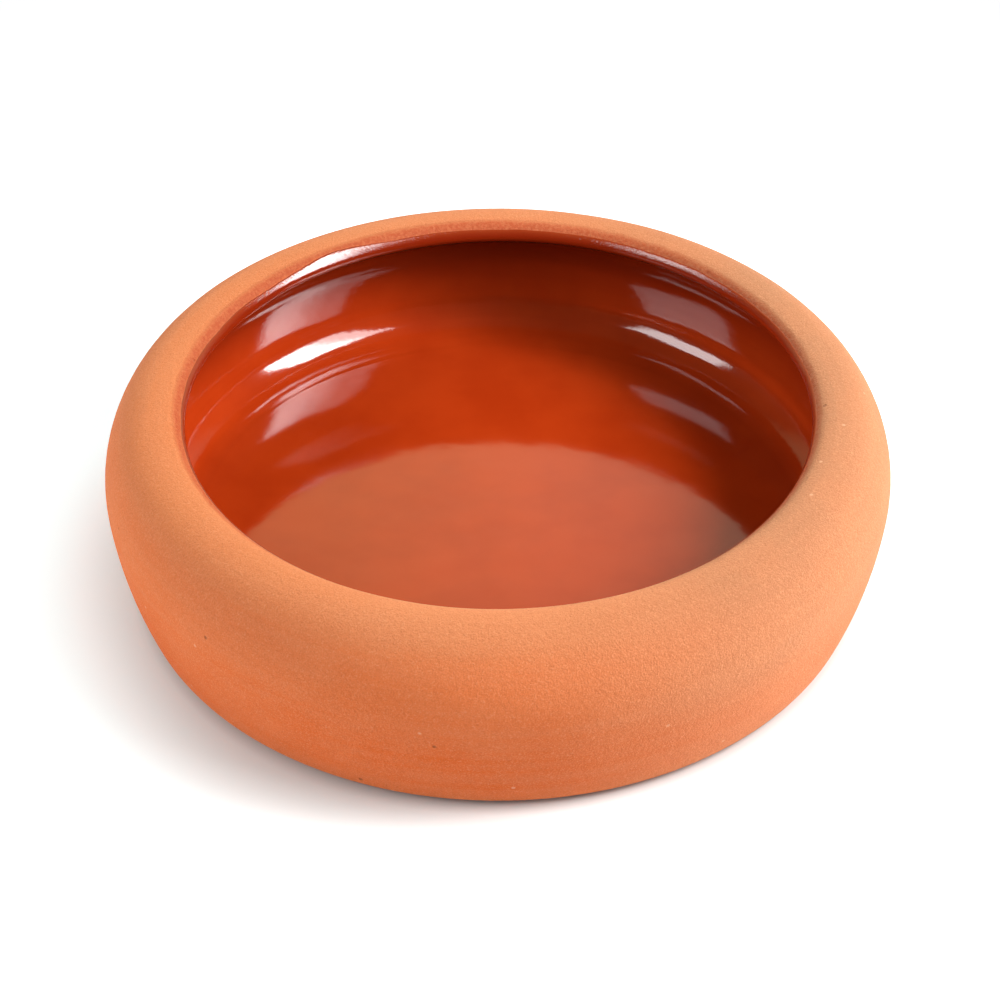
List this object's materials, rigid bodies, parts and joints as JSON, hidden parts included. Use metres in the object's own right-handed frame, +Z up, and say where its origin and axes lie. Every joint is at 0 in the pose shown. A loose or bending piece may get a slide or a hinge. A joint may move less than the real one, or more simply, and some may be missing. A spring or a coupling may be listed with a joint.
{
  "type": "ceramic bowl",
  "caption": "Low round earthenware bowl with a thick wall that bulges outwards, a rounded inward rim and a flat floor, glazed inside and bare clay outside.",
  "frame": {"origin": "middle of the flat standing face, on the surface that the bowl stands on", "axes": "+Z up along the axis that the bowl is turned about, out of its mouth; X and Y lie in the standing face, and the bowl is the same all round"},
  "size_m": [0.17, 0.17, 0.0438],
  "materials": {
    "bare_clay": "unglazed orange earthenware, matte, with a fine sandy grain",
    "glaze": "glossy clear red-brown glaze, fused to the clay of the hollow and the inner edge of the rim"
  },
  "bodies": {
    "root": {"bowl": "bare_clay"}
  },
  "joints": []
}
